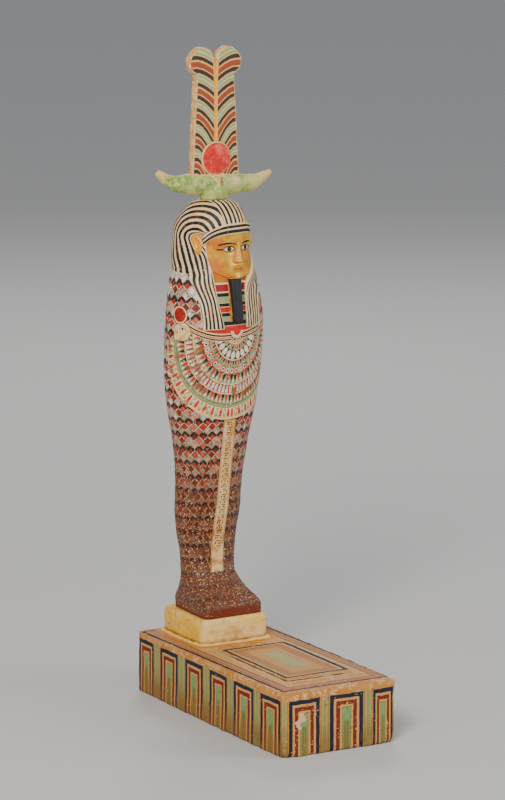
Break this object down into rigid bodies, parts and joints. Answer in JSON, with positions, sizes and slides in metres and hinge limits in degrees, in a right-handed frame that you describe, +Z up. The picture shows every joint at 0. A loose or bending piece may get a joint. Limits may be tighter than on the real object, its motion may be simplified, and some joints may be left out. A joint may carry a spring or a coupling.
{
  "type": "ptah-sokar-osiris figure",
  "caption": "Painted wooden mummiform figure with striped wig, gilded face and beard, plumed crown on ram horns, on a long painted plinth with a lidded compartment.",
  "frame": {"origin": "centre of the plinth's underside", "axes": "+Z up; the figure faces -Y, along the plinth; +X is towards the figure's left hand"},
  "size_m": [0.1318, 0.2951, 0.6553],
  "materials": {
    "plinth_paint": "gessoed and painted wood, matt, with dark, red, green and cream panels, worn at the edges",
    "lid_paint": "gessoed and painted wood, matt, with nested rectangles",
    "figure_paint": "gessoed and painted wood, with a gilded face, striped wig, collar and bead net",
    "crown_paint": "gessoed and painted wood, green horns, banded plumes and a red disk"
  },
  "bodies": {
    "root": {"plinth": "plinth_paint", "compartment_lid": "lid_paint", "figure": "figure_paint", "crown": "crown_paint"}
  },
  "joints": []
}
